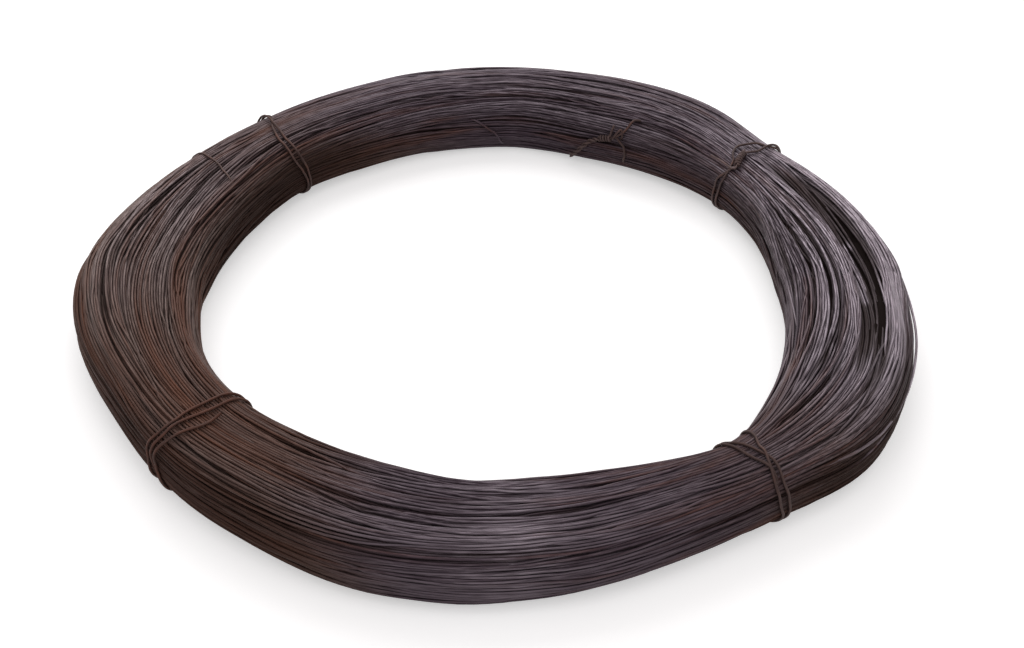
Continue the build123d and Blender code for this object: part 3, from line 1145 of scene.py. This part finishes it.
def wire_material(name, oxide, brown, painted_sheen, tan, rust, roughness, gloss):
    """Oxide skin, browner where weathered, with streaks of rust, a painted sheen standing for
    highlights, and painted shade.
    """
    material, tree = new_material(name)

    def pattern(vector, size, detail):
        stretched = add_node(tree, "Mapping", {"Vector": vector, "Scale": size}).outputs["Vector"]
        inputs = {"Vector": stretched, "Scale": 1.0, "Detail": detail}
        return add_node(tree, "TexNoise", inputs).outputs["Fac"]

    def ramp(value, low, high, low_to=0.0, high_to=1.0):
        inputs = dict(enumerate((value, low, high, low_to, high_to)))
        return add_node(tree, "MapRange", inputs, interpolation_type="SMOOTHSTEP").outputs[0]

    def maths(operation, first, second):
        return add_node(tree, "Math", {0: first, 1: second}, operation=operation).outputs[0]

    def blend(share, *colours):
        first, second = ((*part, 1) if isinstance(part, tuple) else part for part in colours)
        return add_node(tree, "Mix", {0: share, 6: first, 7: second}, data_type="RGBA").outputs[2]

    def added(shares):
        terms = [maths("MULTIPLY", patterns[name], share) for name, share in shares.items()]
        total = terms[0]
        for term in terms[1:]:
            total = maths("ADD", total, term)
        return total

    wire, ring, rust_and_painted_light = (
        add_node(tree, "Attribute", attribute_name=name).outputs["Vector"]
        for name in ("wire", "ring", "rust_and_painted_light")
    )
    tone = add_node(tree, "SeparateXYZ", {0: wire}).outputs[0]
    rust_wear, painted_sheen_mask, painted_shade = add_node(tree, "SeparateXYZ", {0: rust_and_painted_light}).outputs
    flecks = pattern(wire, FLECKS, 3.0)
    patterns = {
        "patches": pattern(ring, PATCHES, 2.0),
        "streaks": pattern(wire, STREAKS, 3.0),
        "flecks": flecks,
        "tone": tone,
        "rust_and_painted_light": rust_wear,
    }

    rust_share = ramp(added(RUST_FROM), *RUST_RANGE)
    # painted sheen: a lighter colour standing for highlights, where the position mask allows
    painted_sheen_share = maths("MULTIPLY", ramp(added(PAINTED_SHEEN_FROM), *PAINTED_SHEEN_RANGE), painted_sheen_mask)
    weathered = ramp(rust_wear, *WEATHERED_RANGE)
    colour = blend(painted_sheen_share, blend(weathered, oxide, brown), blend(weathered, painted_sheen, tan))
    colour = blend(rust_share, colour, rust)
    # painted shade: deeper turns and the walls darkened towards a dark brown
    painted_shade_colour = tuple(PAINTED_SHADE_DARKNESS * part for part in brown)
    colour = blend(ramp(painted_shade, 0.0, 1.0, 0.0, PAINTED_SHADE_SHARE), colour, painted_shade_colour)
    speckle = ramp(flecks, *SPECKLE_RANGE)
    shade = add_node(tree, "VectorMath", {0: colour, "Scale": speckle}, operation="SCALE")

    dull = ramp(painted_sheen_mask, *DULL_RANGE, DULL_ROUGHNESS, 0.0)
    dull = maths("ADD", dull, ramp(painted_shade, 0.0, 1.0, 0.0, PAINTED_SHADE_ROUGHNESS))
    bump = {"Strength": BUMP_STRENGTH, "Distance": BUMP_DISTANCE, "Height": flecks}
    inputs = {
        "Base Color": shade.outputs[0],
        "Metallic": METALLIC,
        "Specular IOR Level": gloss,
        "Roughness": maths("ADD", dull, roughness),
        "Normal": add_node(tree, "Bump", bump).outputs[0],
    }
    shader = add_node(tree, "BsdfPrincipled", inputs)
    add_node(tree, "OutputMaterial", {"Surface": shader.outputs[0]})
    return material


# sheen and tan are painted highlight colours, lighter than the oxide
coil_material = wire_material(
    "dark_annealed_wire",
    oxide=(0.054, 0.036, 0.047),
    brown=(0.056, 0.030, 0.024),
    painted_sheen=(0.360, 0.305, 0.345),
    tan=(0.270, 0.205, 0.185),
    rust=(0.105, 0.041, 0.024),
    roughness=0.34,
    gloss=0.12,
)
tie_material = wire_material(
    "rusted_tie_wire",
    oxide=(0.055, 0.034, 0.032),
    brown=(0.055, 0.030, 0.025),
    painted_sheen=(0.160, 0.110, 0.105),
    tan=(0.150, 0.095, 0.080),
    rust=(0.130, 0.052, 0.034),
    roughness=0.42,
    gloss=0.15,
)
# darker colours than the outer turns: painted shade for the turns further in
shaded_core_material = wire_material(
    "shaded_deep_wire",
    oxide=(0.026, 0.018, 0.018),
    brown=(0.030, 0.019, 0.016),
    painted_sheen=(0.024, 0.018, 0.019),
    tan=(0.024, 0.017, 0.015),
    rust=(0.022, 0.012, 0.009),
    roughness=0.7,
    gloss=0.05,
)


def dress(piece, material, slot, *nodes):
    """Gives a piece its material and body, and hides the nodes that it stands for. The slot is not
    used.
    """
    piece.data.materials.append(material)
    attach(piece, "root")
    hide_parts(*nodes)


order = np.argsort(np.arctan2(turns[:, 0, 1] - centres[0, 1], turns[:, 0, 0] - centres[0, 0]))
tones = np.zeros(TURNS)
tones[order] = group_tones()
for number, members in enumerate(np.array_split(order, TURN_PIECES)):
    piece = turns_piece(f"coil_turns_{number + 1}", turns[members], tones[members])
    dress(piece, coil_material, "coil_wire", "wire_coil")
dress(core_piece("coil_core"), shaded_core_material, "coil_wire", "wire_coil")
for name, strands, diameter in (
    ("tie_back_right", back_right_tie(), WIRE),
    ("tie_back_left", back_left_tie(), WIRE),
    ("tie_front_left", front_left_tie(), WIRE),
    ("tie_front_right", front_right_tie(), WIRE),
    ("thin_tie", thin_tie(), THIN_WIRE),
    ("end_tie", end_tie(), WIRE),
):
    dress(strands_piece(name + "_wires", strands, diameter), tie_material, "tie_wire", name)
dress(strands_piece("loose_turns", loose_ends()), coil_material, "coil_wire", "wire_coil")


# Floor, light and camera

def white_to_the_eye(tree):
    """1 for what is seen, in gloss or glass too, and 0 for light on things."""
    path = add_node(tree, "LightPath").outputs
    value = path["Is Camera Ray"]
    for name in ("Is Glossy Ray", "Is Transmission Ray"):
        value = add_node(tree, "Math", {0: value, 1: path[name]}, operation="MAXIMUM").outputs[0]
    return value


def make_world():
    """Soft light from all sides, white to the eye."""
    world = bpy.data.worlds.new("studio")
    bpy.context.scene.world = world
    world.use_nodes = True
    tree = world.node_tree
    tree.nodes.clear()
    soft = {"Color": (*SOFT_LIGHT_COLOUR, 1), "Strength": SOFT_LIGHT}
    white = {"Color": (1, 1, 1, 1), "Strength": 1.0}
    soft, white = (add_node(tree, "Background", inputs).outputs[0] for inputs in (soft, white))
    mixed = add_node(tree, "MixShader", {0: white_to_the_eye(tree), 1: soft, 2: white})
    add_node(tree, "OutputWorld", {0: mixed.outputs[0]})


def make_floor():
    """A pale floor that keeps the coil's shadow."""
    bpy.ops.mesh.primitive_plane_add(size=FLOOR_SIZE, location=(0, 0, 0))
    floor = bpy.context.object
    floor.name = "floor"
    material, tree = new_material("pale_floor")
    diffuse = add_node(tree, "BsdfDiffuse", {"Color": (*FLOOR_COLOUR, 1)})
    inputs = {0: white_to_the_eye(tree), 1: FLOOR_GLOW}
    strength = add_node(tree, "Math", inputs, operation="MULTIPLY")
    glow = add_node(tree, "Emission", {"Strength": strength.outputs[0]})
    both = add_node(tree, "AddShader", {0: diffuse.outputs[0], 1: glow.outputs[0]})
    add_node(tree, "OutputMaterial", {"Surface": both.outputs[0]})
    floor.data.materials.append(material)


def area_light(name, azimuth, elevation, distance, size, power):
    """A square lamp turned towards the coil. Azimuth 0 is at the back and 90 on the right."""
    light = bpy.data.lights.new(name, "AREA")
    light.size = size
    light.energy = power
    lamp = bpy.data.objects.new(name, light)
    turn, rise = math.radians(azimuth), math.radians(elevation)
    across = math.cos(rise)
    away = Vector((math.sin(turn) * across, math.cos(turn) * across, math.sin(rise)))
    lamp.location = away * distance
    lamp.rotation_euler = away.to_track_quat("Z", "Y").to_euler()
    bpy.context.scene.collection.objects.link(lamp)


def make_camera():
    """The camera of the photo."""
    camera = bpy.data.cameras.new("camera")
    camera.sensor_fit = "HORIZONTAL"
    camera.angle = math.radians(CAMERA_FIELD)
    eye = bpy.data.objects.new("camera", camera)
    elevation = math.radians(CAMERA_ELEVATION)
    back = Vector((0, -math.cos(elevation), math.sin(elevation)))
    eye.location = (Vector(CAMERA_TARGET) + back * CAMERA_DISTANCE) * MM
    look = back.to_track_quat("Z", "Y").to_matrix()
    roll = Matrix.Rotation(math.radians(CAMERA_ROLL), 3, Vector((0, 0, 1)))
    eye.rotation_euler = (look @ roll).to_euler()
    bpy.context.scene.collection.objects.link(eye)
    bpy.context.scene.camera = eye


make_world()
make_floor()
area_light("back_window", azimuth=-12, elevation=42, distance=1.6, size=1.6, power=15)
area_light("overhead", azimuth=180, elevation=62, distance=1.6, size=1.4, power=6)
make_camera()

bpy.context.scene.view_settings.view_transform = "Standard"
